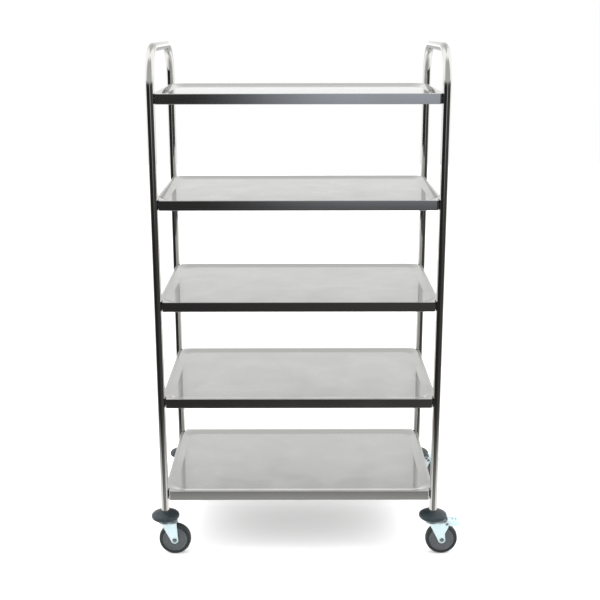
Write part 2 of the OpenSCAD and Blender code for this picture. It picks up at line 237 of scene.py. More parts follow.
@dataclass(frozen=True)
class PolishedStainless:
    """Polished stainless steel: a mirror, with a haze of fine scratches on what faces upwards.

    Attributes:
        name: What the material is.
        colour: The metal's own tint.
        shade: The tint of its duller patches.
        underside_shade: The tint of what faces down, a painted shade that darkens the downward
            faces.
        roughness: Average roughness of the polish.
        haze: Roughness of the scratched ground that faces upwards.
        gloss: Share of the mirror that is left over the haze, from zero to one.
        line_pitch: Spacing of the polishing lines in metres, drawn as coarse as they show.
        line_depth: Depth of the lines in metres.
        wave: Height of the slow waves that pressing leaves, in metres.
        grain: Which way the lines run.
        smear_pitch: Size of the wiping smears.
        wave_pitch: Length of the slow waves.
        worn: The tint of burnished edges.
        reach: How far the burnish reaches from an edge.
        coat_roughness: Roughness of the mirror over the haze.
        coat_ior: Strength of that mirror, as an index of refraction.
    """

    name: str
    colour: str
    shade: str
    underside_shade: str
    roughness: float
    haze: float
    gloss: float
    line_pitch: float
    line_depth: float
    wave: float
    grain: Grain
    smear_pitch: float = 111.1 * MM
    wave_pitch: float = 142.9 * MM
    worn: str = "F4F3F0"
    reach: float = 0.8 * MM
    coat_roughness: float = 0.03
    coat_ior: float = 2.2

    def build(self) -> bpy.types.Material:
        """Makes the material.

        Returns:
            The finished material.
        """
        material, tree, shader = new_material(self.name)
        place = add_node(tree, "ShaderNodeTexCoord", {}, {})
        turn = add_node(tree, "ShaderNodeMapping", {},
                        {"Vector": place.outputs["Object"], "Scale": self.grain.value})
        lines = add_node(tree, "ShaderNodeTexNoise", {},
                         {"Vector": turn.outputs["Vector"], "Scale": 1 / self.line_pitch,
                          "Detail": 3.0, "Roughness": 0.6})
        smears = add_node(tree, "ShaderNodeTexNoise", {},
                          {"Vector": place.outputs["Object"], "Scale": 1 / self.smear_pitch,
                           "Detail": 4.0, "Roughness": 0.55, "Distortion": 0.6})
        wiped = worn_colour(tree, smears.outputs["Fac"], (self.colour, self.shade), self.worn,
                            self.reach)
        geometry = add_node(tree, "ShaderNodeNewGeometry", {}, {})
        facing = add_node(tree, "ShaderNodeSeparateXYZ", {}, {"Vector": geometry.outputs["Normal"]})
        # painted shade: faces that point down are darkened towards the underside tint
        below = add_node(tree, "ShaderNodeMapRange", {},
                         {"Value": facing.outputs["Z"], "From Min": -0.6, "From Max": -0.9,
                          "To Min": 0.0, "To Max": 1.0})
        underside_shaded = add_node(tree, "ShaderNodeMix", {"data_type": "RGBA"},
                          {"Factor": below.outputs["Result"], 6: wiped,
                           7: linear(self.underside_shade)})
        tree.links.new(underside_shaded.outputs[2], shader.inputs["Base Color"])
        level = add_node(tree, "ShaderNodeMapRange", {},
                         {"Value": facing.outputs["Z"], "From Min": 0.6, "From Max": 0.9,
                          "To Min": self.roughness, "To Max": self.haze})
        lined = add_node(tree, "ShaderNodeMapRange", {},
                         {"Value": lines.outputs["Fac"], "From Min": 0.3, "From Max": 0.7,
                          "To Min": 0.85, "To Max": 1.15})
        smeared = add_node(tree, "ShaderNodeMapRange", {},
                           {"Value": smears.outputs["Fac"], "From Min": 0.35, "From Max": 0.75,
                            "To Min": 0.9, "To Max": 1.25})
        uneven = add_node(tree, "ShaderNodeMath", {"operation": "MULTIPLY"},
                          {0: lined.outputs["Result"], 1: smeared.outputs["Result"]})
        rough = add_node(tree, "ShaderNodeMath", {"operation": "MULTIPLY"},
                         {0: level.outputs["Result"], 1: uneven.outputs["Value"]})
        tree.links.new(rough.outputs["Value"], shader.inputs["Roughness"])
        waves = add_node(tree, "ShaderNodeTexNoise", {},
                         {"Vector": place.outputs["Object"], "Scale": 1 / self.wave_pitch,
                          "Detail": 1.0})
        slow = add_node(tree, "ShaderNodeBump", {},
                        {"Strength": 1.0, "Distance": self.wave, "Height": waves.outputs["Fac"]})
        bump = add_node(tree, "ShaderNodeBump", {},
                        {"Strength": 1.0, "Distance": self.line_depth,
                         "Height": lines.outputs["Fac"], "Normal": slow.outputs["Normal"]})
        tree.links.new(bump.outputs["Normal"], shader.inputs["Normal"])
        tree.links.new(slow.outputs["Normal"], shader.inputs["Coat Normal"])
        shader.inputs["Metallic"].default_value = 1.0
        shader.inputs["Coat Weight"].default_value = self.gloss
        shader.inputs["Coat Roughness"].default_value = self.coat_roughness
        shader.inputs["Coat IOR"].default_value = self.coat_ior
        return material


@dataclass(frozen=True)
class PlatedSteel:
    """Pressed or turned steel with a bright plate: milky, faintly clouded, rubbed at its edges.

    Attributes:
        name: What the material is.
        colour: The plate's tint.
        cloud: The tint of its clouds.
        roughness: Average roughness.
        metallic: Near one for bare metal, less under a milky passivated film.
        worn: The tint where edges rub through.
        reach: How far the rubbing reaches from an edge.
        cloud_pitch: Size of the clouds.
        cloud_depth: Depth of the clouds' unevenness.
        crystal_pitch: Size of the plate's crystals, drawn as coarse as they show.
        crystal_depth: Depth of the crystals.
    """

    name: str
    colour: str
    cloud: str
    roughness: float
    metallic: float
    worn: str
    reach: float = 0.7 * MM
    cloud_pitch: float = 18.18 * MM
    cloud_depth: float = 0.06 * MM
    crystal_pitch: float = 2.381 * MM
    crystal_depth: float = 0.02 * MM

    def build(self) -> bpy.types.Material:
        """Makes the material.

        Returns:
            The finished material.
        """
        material, tree, shader = new_material(self.name)
        place = add_node(tree, "ShaderNodeTexCoord", {}, {})
        clouds = add_node(tree, "ShaderNodeTexNoise", {},
                          {"Vector": place.outputs["Object"], "Scale": 1 / self.cloud_pitch,
                           "Detail": 5.0, "Roughness": 0.6})
        crystals = add_node(tree, "ShaderNodeTexVoronoi", {"feature": "F1"},
                            {"Vector": place.outputs["Object"], "Scale": 1 / self.crystal_pitch})
        colour = worn_colour(tree, clouds.outputs["Fac"], (self.colour, self.cloud), self.worn,
                             self.reach)
        tree.links.new(colour, shader.inputs["Base Color"])
        rough = add_node(tree, "ShaderNodeMapRange", {},
                         {"Value": clouds.outputs["Fac"], "From Min": 0.3, "From Max": 0.7,
                          "To Min": 0.75 * self.roughness, "To Max": 1.3 * self.roughness})
        tree.links.new(rough.outputs["Result"], shader.inputs["Roughness"])
        skin = add_node(tree, "ShaderNodeBump", {},
                        {"Strength": 0.5, "Distance": self.crystal_depth,
                         "Height": crystals.outputs["Distance"]})
        bump = add_node(tree, "ShaderNodeBump", {},
                        {"Strength": 0.6, "Distance": self.cloud_depth,
                         "Height": clouds.outputs["Fac"], "Normal": skin.outputs["Normal"]})
        tree.links.new(bump.outputs["Normal"], shader.inputs["Normal"])
        shader.inputs["Metallic"].default_value = self.metallic
        return material


@dataclass(frozen=True)
class Moulded:
    """Injection-moulded plastic or rubber with a spark-eroded mould texture.

    Attributes:
        name: What the material is.
        colour: The pigment.
        bloom: The paler tint of dusty and rubbed ground.
        scuff: The tint of scuffed edges.
        roughness: Average roughness.
        ior: Index of refraction of the polymer.
        texture_pitch: Size of the mould texture in metres, drawn as coarse as it shows.
        texture_depth: Depth of the mould texture in metres.
        dust_pitch: Size of the dusty patches.
        reach: How far the scuffs reach from an edge.
    """

    name: str
    colour: str
    bloom: str
    scuff: str
    roughness: float
    ior: float
    texture_pitch: float
    texture_depth: float
    dust_pitch: float = 26.32 * MM
    reach: float = 1.2 * MM

    def build(self) -> bpy.types.Material:
        """Makes the material.

        Returns:
            The finished material.
        """
        material, tree, shader = new_material(self.name)
        place = add_node(tree, "ShaderNodeTexCoord", {}, {})
        dust = add_node(tree, "ShaderNodeTexNoise", {},
                        {"Vector": place.outputs["Object"], "Scale": 1 / self.dust_pitch,
                         "Detail": 6.0, "Roughness": 0.62})
        spark = add_node(tree, "ShaderNodeTexNoise", {},
                         {"Vector": place.outputs["Object"], "Scale": 1 / self.texture_pitch,
                          "Detail": 2.0})
        mask = add_node(tree, "ShaderNodeMapRange", {},
                        {"Value": dust.outputs["Fac"], "From Min": 0.42, "From Max": 0.72,
                         "To Min": 0.0, "To Max": 0.6})
        colour = worn_colour(tree, mask.outputs["Result"], (self.colour, self.bloom), self.scuff,
                             self.reach)
        tree.links.new(colour, shader.inputs["Base Color"])
        rough = add_node(tree, "ShaderNodeMapRange", {},
                         {"Value": dust.outputs["Fac"], "From Min": 0.35, "From Max": 0.7,
                          "To Min": 0.85 * self.roughness, "To Max": 1.2 * self.roughness})
        tree.links.new(rough.outputs["Result"], shader.inputs["Roughness"])
        bump = add_node(tree, "ShaderNodeBump", {},
                        {"Strength": 1.0, "Distance": self.texture_depth,
                         "Height": spark.outputs["Fac"]})
        tree.links.new(bump.outputs["Normal"], shader.inputs["Normal"])
        shader.inputs["IOR"].default_value = self.ior
        return material


class Finishes:
    """Every finish on the trolley, made once and shared."""

    def __init__(self) -> None:
        """Makes the materials."""
        # the third tint of each polished finish is a painted shade on its downward faces
        # AISI 430 stainless sheet, mop-polished after pressing, its floors hazed by use.
        self.tray_sheet = PolishedStainless(
            "polished_stainless_sheet", "DADAD8", "D2D2CF", "8F8F8C", 0.09, 0.32, 1.0, 1.6 * MM,
            0.0004 * MM, 0.05 * MM, Grain.ALONG_X).build()
        # AISI 201 stainless tube, belt-polished round its girth: near-perfect mirror streaks.
        self.tube = PolishedStainless(
            "polished_stainless_tube", "E0DFDC", "D6D5D1", "D0CFCB", 0.06, 0.09, 0.0, 1.2 * MM,
            0.0004 * MM, 0.01 * MM, Grain.ROUND_TUBE).build()
        # The same sheet left as rolled under the trays: a satin grey with plain rolling lines.
        self.plain_sheet = PolishedStainless(
            "mill_finish_stainless_sheet", "BFBFBC", "AFAFAB", "969693", 0.3, 0.32, 0.0, 1.2 * MM,
            0.004 * MM, 0.03 * MM, Grain.ALONG_X).build()
        # Pressed mild steel, zinc plated and blue passivated: milky white with a cold cast.
        self.zinc_sheet = PlatedSteel(
            "blue_passivated_zinc_sheet", "D6E8EB", "C6DCE0", 0.34, 0.25, "ECF4F5").build()
        # Turned and headed steel with the same plate, a little greyer.
        self.hardware = PlatedSteel(
            "zinc_plated_hardware", "C9CFD1", "AEB5B8", 0.28, 1.0, "E8ECEC").build()
        # Rivet nuts coloured a dark grey, rubbed where the bolt was driven.
        self.rivet_nut = PlatedSteel(
            "black_zinc_rivet_nut", "55585A", "46494B", 0.36, 1.0, "7C7F80").build()
        # Hardened and tempered spring strip, polished by rolling.
        self.spring = PlatedSteel(
            "tempered_spring_strip", "B9BCBD", "9DA2A4", 0.24, 1.0, "D8DBDB").build()
        # Chrome steel balls, lapped to a mirror under a film of grease.
        self.balls = PlatedSteel(
            "lapped_chrome_steel", "C8C9C8", "B4B4B0", 0.12, 1.0, "D8D8D6").build()
        # Oil-filled sintered bronze, dull and open-grained.
        self.bush = PlatedSteel(
            "sintered_bronze", "8E7A62", "76644F", 0.45, 1.0, "A8937A").build()
        # Polypropylene bumper disc, moulded in a fine spark texture, cold grey.
        self.bumper = Moulded(
            "moulded_polypropylene", "253136", "354246", "4E5B5E", 0.33, 1.49,
            0.9 * MM, 0.03 * MM).build()
        # Polyamide hub, moulded with a silkier face.
        self.hub = Moulded(
            "moulded_polyamide", "53575A", "5E6264", "9A9EA0", 0.34, 1.53,
            0.8 * MM, 0.02 * MM).build()
        # Thermoplastic rubber tyre, non-marking grey, matt with a dusty tread.
        self.tyre = Moulded(
            "thermoplastic_rubber", "262A2C", "33383A", "42474A", 0.56, 1.51,
            0.7 * MM, 0.04 * MM).build()


# ---- Meshes ----


def mesh_object(
    name: str, points: list[Vector], faces: Faces, weighted: bool = True
) -> bpy.types.Object:
    """Makes a smooth-shaded object from points and faces.

    Args:
        name: The piece's name.
        points: Its points, in the trolley's frame.
        faces: Its faces, as numbers into the points.
        weighted: True to let large flat faces keep their own normals.

    Returns:
        The new object.
    """
    mesh = bpy.data.meshes.new(name)
    mesh.from_pydata([tuple(p) for p in points], [], faces)
    mesh.validate()
    mesh.shade_smooth()
    piece = bpy.data.objects.new(name, mesh)
    bpy.context.scene.collection.objects.link(piece)
    if weighted:
        piece.modifiers.new("face_weights", "WEIGHTED_NORMAL")
    return piece


def joined(name: str, pieces: list[bpy.types.Object]) -> bpy.types.Object:
    """Joins several pieces into one.

    Args:
        name: The name of the result.
        pieces: The pieces, the first of which stays.

    Returns:
        The joined piece.
    """
    points: list[Vector] = []
    faces: Faces = []
    for piece in pieces:
        start = len(points)
        points += [v.co.copy() for v in piece.data.vertices]
        faces += [tuple(start + i for i in p.vertices) for p in piece.data.polygons]
        mesh = piece.data
        bpy.data.objects.remove(piece)
        bpy.data.meshes.remove(mesh)
    return mesh_object(name, points, faces)


def ring_faces(rings: int, count: int, loop: bool) -> Faces:
    """Joins rings of points with four-sided faces.

    Args:
        rings: How many rings there are.
        count: How many points each ring has.
        loop: True to join the last ring to the first.

    Returns:
        The faces.
    """
    faces: Faces = []
    for i in range(rings if loop else rings - 1):
        a = i * count
        b = ((i + 1) % rings) * count
        for j in range(count):
            k = (j + 1) % count
            faces.append((a + j, a + k, b + k, b + j))
    return faces


def arc(centre: Point2, radius: float, start: float, end: float, steps: int) -> list[Point2]:
    """Points along an arc.

    Args:
        centre: The arc's centre.
        radius: Its radius.
        start: The first angle, in degrees.
        end: The last angle, in degrees.
        steps: How many steps to take between them.

    Returns:
        The points, both ends among them.
    """
    angles = [math.radians(start + (end - start) * i / steps) for i in range(steps + 1)]
    return [(centre[0] + radius * math.cos(a), centre[1] + radius * math.sin(a)) for a in angles]


def rounded(outline: list[Point2], radii: list[float], steps: int = 4) -> list[Point2]:
    """Rounds the corners of a closed outline.

    Args:
        outline: Its corners in order.
        radii: The radius at each corner, zero for a sharp one.
        steps: How many steps each round takes.

    Returns:
        The outline with its rounds.
    """
    result: list[Point2] = []
    count = len(outline)
    for i, (corner, radius) in enumerate(zip(outline, radii)):
        here = Vector(corner)
        back = Vector(outline[i - 1]) - here
        ahead = Vector(outline[(i + 1) % count]) - here
        turn = back.angle(ahead)
        if radius <= 0 or turn > math.radians(179):
            result.append(corner)
            continue
        run = min(radius / math.tan(turn / 2), 0.48 * back.length, 0.48 * ahead.length)
        first = here + back.normalized() * run
        last = here + ahead.normalized() * run
        for k in range(steps + 1):
            t = k / steps
            spot = first * (1 - t) ** 2 + here * (2 * t * (1 - t)) + last * t * t
            result.append((spot.x, spot.y))
    return result


def lathe(
    name: str, profile: list[Point2], centre: Vector, turn: Matrix, segments: int = 64
) -> bpy.types.Object:
    """Turns a closed profile round an axis.

    Args:
        name: The piece's name.
        profile: Closed profile of radius and height, in metres.
        centre: Where the axis passes, at height zero.
        turn: Rotation from the Z axis to the real one.
        segments: How many steps go round.

    Returns:
        The turned piece.
    """
    points: list[Vector] = []
    for k in range(segments):
        a = 2 * math.pi * k / segments
        points += [centre + turn @ Vector((r * math.cos(a), r * math.sin(a), h))
                   for r, h in profile]
    return mesh_object(name, points, ring_faces(segments, len(profile), True))


def prism(name: str, outline: list[Point2], start: float, end: float) -> bpy.types.Object:
    """Runs a section in Y and Z along X.

    Args:
        name: The piece's name.
        outline: The section in Y and Z.
        start: The X where it begins.
        end: The X where it ends.

    Returns:
        The piece.
    """
    points = [Vector((x, y, z)) for x in (start, end) for y, z in outline]
    count = len(outline)
    faces = ring_faces(2, count, False)
    faces.append(tuple(reversed(range(count))))
    faces.append(tuple(range(count, 2 * count)))
    return mesh_object(name, points, faces)


def dress(piece: bpy.types.Object, material: bpy.types.Material) -> None:
    """Gives a piece one finish all over."""
    piece.data.materials.clear()
    piece.data.materials.append(material)


def dress_node(name: str, material: bpy.types.Material) -> None:
    """Gives a CAD node that stays one finish all over.

    Args:
        name: The node's name.
        material: Its finish.
    """
    node = frame["nodes"][name]
    for slot in node.material_slots:
        slot.material = material
    if not node.material_slots:
        node.data.materials.append(material)
    LOG.info("finished %s", name)


def stand_for(piece: bpy.types.Object, node: str) -> None:
    """Puts a piece in a CAD node's place, on the node's own body.

    Args:
        piece: The piece.
        node: The CAD node that it stands for.
    """
    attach(piece, frame["nodes"][node]["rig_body"])
    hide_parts(node)
    LOG.info("built %s", piece.name)


# ---- End frames ----


@dataclass
class EndFrame:
    """One tube bent into two legs and the push handle between them.

    Attributes:
        side: Which end of the trolley.
        bend: Centre-line radius of the handle bends.
        wall: Wall of the tube.
        sides: How many steps go round the tube.
        bend_steps: How many steps each bend takes.
    """

    side: Side
    bend: float = 100 * MM
    wall: float = 1.2 * MM
    sides: int = 48
    bend_steps: int = 24

    @property
    def node(self) -> str:
        """The CAD node's name."""
        return self.side.name.lower() + "_end_frame"

    def centre_line(self) -> list[tuple[Vector, Vector]]:
        """Follows the tube from the front foot to the rear one.

        Returns:
            Points with their directions.
        """
        low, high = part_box(self.node)
        radius = (high.x - low.x) / 2
        x = (low.x + high.x) / 2
        leg_y = high.y - radius
        bar_z = high.z - radius
        turn_y = leg_y - self.bend
        turn_z = bar_z - self.bend
        # close rings at the feet keep the tube's sides straight in their shading
        steps = (0.0, 0.0004, 0.003, 0.25, 0.5, 0.75, 0.99)
        line = [(Vector((x, -leg_y, low.z + t * (turn_z - low.z))), Vector((0, 0, 1)))
                for t in steps]
        for first, centre_y in ((180, -turn_y), (90, turn_y)):
            bend = arc((centre_y, turn_z), self.bend, first, first - 90, self.bend_steps)
            for y, z in bend:
                out = Vector((0, y - centre_y, z - turn_z)).normalized()
                line.append((Vector((x, y, z)), Vector((0, out.z, -out.y))))
        line += [(Vector((x, leg_y, low.z + t * (turn_z - low.z))), Vector((0, 0, -1)))
                 for t in reversed(steps)]
        return line

    def build(self) -> bpy.types.Object:
        """Sweeps the tube's outer and inner skins along its centre line.

        Returns:
            The tube.
        """
        low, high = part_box(self.node)
        outer = (high.x - low.x) / 2
        line = self.centre_line()
        across = Vector((1, 0, 0))
        points: list[Vector] = []
        for radius, run in ((outer, line), (outer - self.wall, list(reversed(line)))):
            for centre, along in run:
                up = across.cross(along)
                for k in range(self.sides):
                    a = 2 * math.pi * k / self.sides
                    points.append(centre + radius * (math.cos(a) * across + math.sin(a) * up))
        return mesh_object(self.node + "_tube", points, ring_faces(2 * len(line), self.sides, True),
                           weighted=False)

    def dress(self, piece: bpy.types.Object, finishes: Finishes) -> None:
        """Gives the tube its polish and its place."""
        dress(piece, finishes.tube)
        stand_for(piece, self.node)


# ---- Trays ----


@dataclass
class Tray:
    """A pressed tray: flat rim, sloped wall, sunken floor, and a lip notched round the legs.

    Attributes:
        level: Which tray.
        sheet: Thickness of the sheet.
        leg_gap: Space between a leg and the lip.
        rim: Width of the flat rim.
        slope: Run of the sloped wall.
        recess: Depth of the floor below the rim.
        hem: Width of the hem under the lip.
        floor_r: Corner radius of the floor.
        lip_r: Corner radius of the lip.
        notch_r: Radius of the fold in a notch.
        edge: Radius of the fold between the rim and the lip.
        fold: Radius of the folds beside the sloped wall.
        hem_r: Corner radius of the hem's inner edge.
        middle: How far inside the floor's edge its last ring lies.
        middle_r: Corner radius of that ring.
        steps: How many steps each fold takes.
    """

    level: Level
    sheet: float = 1.0 * MM
    leg_gap: float = 1.2 * MM
    rim: float = 8.5 * MM
    slope: float = 24 * MM
    recess: float = 6.5 * MM
    hem: float = 10 * MM
    floor_r: float = 27 * MM
    lip_r: float = 6 * MM
    notch_r: float = 1.0 * MM
    edge: float = 1.5 * MM
    fold: float = 5 * MM
    hem_r: float = 2 * MM
    middle: float = 60 * MM
    middle_r: float = 8 * MM
    steps: int = 4

    @property
    def node(self) -> str:
        """The CAD node's name."""
        return "tray_" + self.level.value

    def notch(self) -> Point2:
        """Where the two sides of a notch would meet, from the legs beside it.

        Returns:
            Its X and Y in the right rear corner.
        """
        low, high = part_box("right_end_frame")
        tube = high.x - low.x
        return (low.x - self.leg_gap, high.y - tube - self.leg_gap)

    def notched(self, step: float, height: float, radius: float) -> list[Vector]:
        """One closed ring round the lip and its four notches.

        Args:
            step: How far in from the outer edge.
            height: Its height.
            radius: Its corner radius.

        Returns:
            The ring's points.
        """
        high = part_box(self.node)[1]
        notch_x, notch_y = self.notch()
        near_x, near_y = notch_x - step, notch_y - step
        inner = self.notch_r + step
        corner = arc((high.x - step - radius, near_y - radius), radius, 0, 90, 5)
        corner += arc((near_x + inner, near_y + inner), inner, 270, 180, 3)
        corner += arc((near_x - radius, high.y - step - radius), radius, 0, 90, 5)
        return self.mirrored(corner, height)

    def plain(self, step: float, height: float, radius: float) -> list[Vector]:
        """One closed ring with four round corners, inside the notches.

        Args:
            step: How far in from the outer edge.
            height: Its height.
            radius: Its corner radius.

        Returns:
            The ring's points, as many as a notched ring has.
        """
        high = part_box(self.node)[1]
        corner = arc((high.x - step - radius, high.y - step - radius), radius, 0, 90, 15)
        return self.mirrored(corner, height)

    @staticmethod
    def mirrored(corner: list[Point2], height: float) -> list[Vector]:
        """Repeats one corner's points in the other three.

        Args:
            corner: The points of the right rear corner, counter-clockwise.
            height: The ring's height.

        Returns:
            The whole ring, counter-clockwise.
        """
        points: list[Vector] = []
        for sx, sy in ((1, 1), (-1, 1), (-1, -1), (1, -1)):
            run = corner if sx * sy > 0 else list(reversed(corner))
            points += [Vector((sx * x, sy * y, height)) for x, y in run]
        return points

    def build(self) -> bpy.types.Object:
        """Lofts the sheet from the middle of its floor, over the rim and lip, and back underneath.

        Returns:
            The tray.
        """
        low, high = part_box(self.node)
        top = high.z
        base = low.z
        tilt = math.atan2(self.recess, self.slope)
        tangent = self.fold * math.tan(tilt / 2)
        inner = self.rim + self.slope
        rim_r = self.floor_r + self.slope
        floor = top - self.recess
        rings = [self.plain(inner + self.middle, floor, self.middle_r)]
        turns = [k / self.steps for k in range(self.steps + 1)]
        for turn in turns:
            a = tilt * turn
            step = inner + tangent - self.fold * math.sin(a)
            rings.append(self.plain(step, floor + self.fold * (1 - math.cos(a)),
                                    rim_r - (step - self.rim)))
        for turn in turns:
            a = tilt * (1 - turn)
            step = self.rim - tangent + self.fold * math.sin(a)
            rings.append(self.plain(step, top - self.fold * (1 - math.cos(a)),
                                    rim_r - (step - self.rim)))
        for turn in turns:
            a = math.radians(90 * turn)
            step = self.edge * (1 - math.sin(a))
            rings.append(self.notched(step, top - self.edge * (1 - math.cos(a)),
                                      self.lip_r - step))
        for turn in turns:
            a = math.radians(90 * turn)
            step = self.edge * (1 - math.cos(a))
            rings.append(self.notched(step, base + self.edge * (1 - math.sin(a)),
                                      self.lip_r - step))
        inside = self.lip_r - self.sheet
        rings += [self.notched(self.hem, base, self.hem_r),
                  self.notched(self.hem, base + self.sheet, self.hem_r),
                  self.notched(self.sheet, base + self.sheet, inside),
                  self.notched(self.sheet, top - self.sheet, inside),
                  self.plain(self.rim, top - self.sheet, rim_r),
                  self.plain(inner, floor - self.sheet, self.floor_r),
                  self.plain(inner + self.middle, floor - self.sheet, self.middle_r)]
        points = [p for ring in rings for p in ring]
        count = len(rings[0])
        faces = ring_faces(len(rings), count, False)
        faces.append(tuple(reversed(range(count))))
        faces.append(tuple(range((len(rings) - 1) * count, len(rings) * count)))
        return mesh_object(self.node + "_pressing", points, faces)

    def dress(self, piece: bpy.types.Object, finishes: Finishes) -> None:
        """Gives the tray its polish and its place."""
        dress(piece, finishes.tray_sheet)
        stand_for(piece, self.node)


@dataclass
class Stiffener:
    """A folded hat-section channel spot-welded under a tray.

    Attributes:
        level: Which tray it is under.
        sheet: Thickness of the sheet.
        web: Width of the web.
        flange: Width of each flange.
    """

    level: Level
    sheet: float = 1.2 * MM
    web: float = 40 * MM
    flange: float = 12 * MM

    @property
    def node(self) -> str:
        """The CAD node's name."""
        return "stiffener_" + self.level.value

    def build(self) -> bpy.types.Object:
        """Folds the channel with rounded bends.

        Returns:
            The channel.
        """
        low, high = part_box(self.node)
        top = high.z
        base = low.z
        half = self.web / 2
        wide = half + self.flange
        t = self.sheet
        corners = [(-wide, top), (-half, top), (-half, base + t), (half, base + t), (half, top),
                   (wide, top), (wide, top - t), (half + t, top - t), (half + t, base),
                   (-half - t, base), (-half - t, top - t), (-wide, top - t)]
        cut = 0.2 * MM
        inner = 1.0 * MM
        outer = inner + t
        radii = [cut, outer, inner, inner, outer, cut, cut, inner, outer, outer, inner, cut]
        section = rounded(corners, radii)
        return prism(self.node + "_channel", section, low.x, high.x)

    def dress(self, piece: bpy.types.Object, finishes: Finishes) -> None:
        """Gives the channel its mill finish and its place."""
        dress(piece, finishes.plain_sheet)
        stand_for(piece, self.node)


@dataclass
class TrayFixings:
    """The button-head bolts that hold each tray to the legs, in rivet nuts.

    Attributes:
        drop: Drop from a tray's rim to its bolts.
        head_r: Radius of a bolt's head.
        head_h: Height of a bolt's head.
        socket_r: Radius over the corners of the hexagon socket.
        socket_d: Depth of the socket.
        shank_r: Radius of the shank.
        shank: Length of the shank past the lip's inside.
        bevel: Bevel at the shank's tip.
    """

    drop: float = 15 * MM
    head_r: float = 5.5 * MM
    head_h: float = 3.5 * MM
    socket_r: float = 2.3 * MM
    socket_d: float = 1.8 * MM
    shank_r: float = 3 * MM
    shank: float = 12 * MM
    bevel: float = 0.6 * MM

    def bolt(self, seat: Vector, out: float) -> bpy.types.Object:
        """One bolt.

        Args:
            seat: Where its axis meets the inside of the lip.
            out: The way its shank points along X.

        Returns:
            The bolt.
        """
        turn = Matrix.Rotation(out * math.pi / 2, 3, "Y")
        crown = -self.head_h
        profile = [(ON_AXIS, crown + self.socket_d), (self.socket_r, crown + self.socket_d),
                   (self.socket_r, crown + 0.15 * MM), (self.socket_r + 0.3 * MM, crown),
                   (0.62 * self.head_r, crown + 0.15 * MM), (0.84 * self.head_r, crown + 0.8 * MM),
                   (0.96 * self.head_r, crown + 1.8 * MM), (self.head_r, -0.7 * MM),
                   (self.head_r - 0.2 * MM, 0.0), (self.shank_r, 0.0),
                   (self.shank_r, self.shank - self.bevel),
                   (self.shank_r - self.bevel, self.shank), (ON_AXIS, self.shank)]
        return lathe("bolt", profile, seat, turn, 24)

    def build(self) -> bpy.types.Object:
        """Makes the twenty bolts.

        Returns:
            The bolts as one piece.
        """
        frame_low, frame_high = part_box("right_end_frame")
        leg_y = frame_high.y - (frame_high.x - frame_low.x) / 2
        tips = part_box("tray_bolts")[1].x
        bolts: list[bpy.types.Object] = []
        for level in Level:
            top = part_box("tray_" + level.value)[1].z
            for sx in (-1, 1):
                for sy in (-1, 1):
                    seat = Vector((sx * (tips - self.shank), sy * leg_y, top - self.drop))
                    bolts.append(self.bolt(seat, sx))
        return joined("tray_button_bolts", bolts)

    def dress(self, piece: bpy.types.Object, finishes: Finishes) -> None:
        """Finishes the bolts and the rivet nuts.

        Args:
            piece: The bolts.
            finishes: The trolley's finishes.
        """
        dress(piece, finishes.hardware)
        stand_for(piece, "tray_bolts")
        dress_node("rivet_nuts", finishes.rivet_nut)


# ---- Castors ----


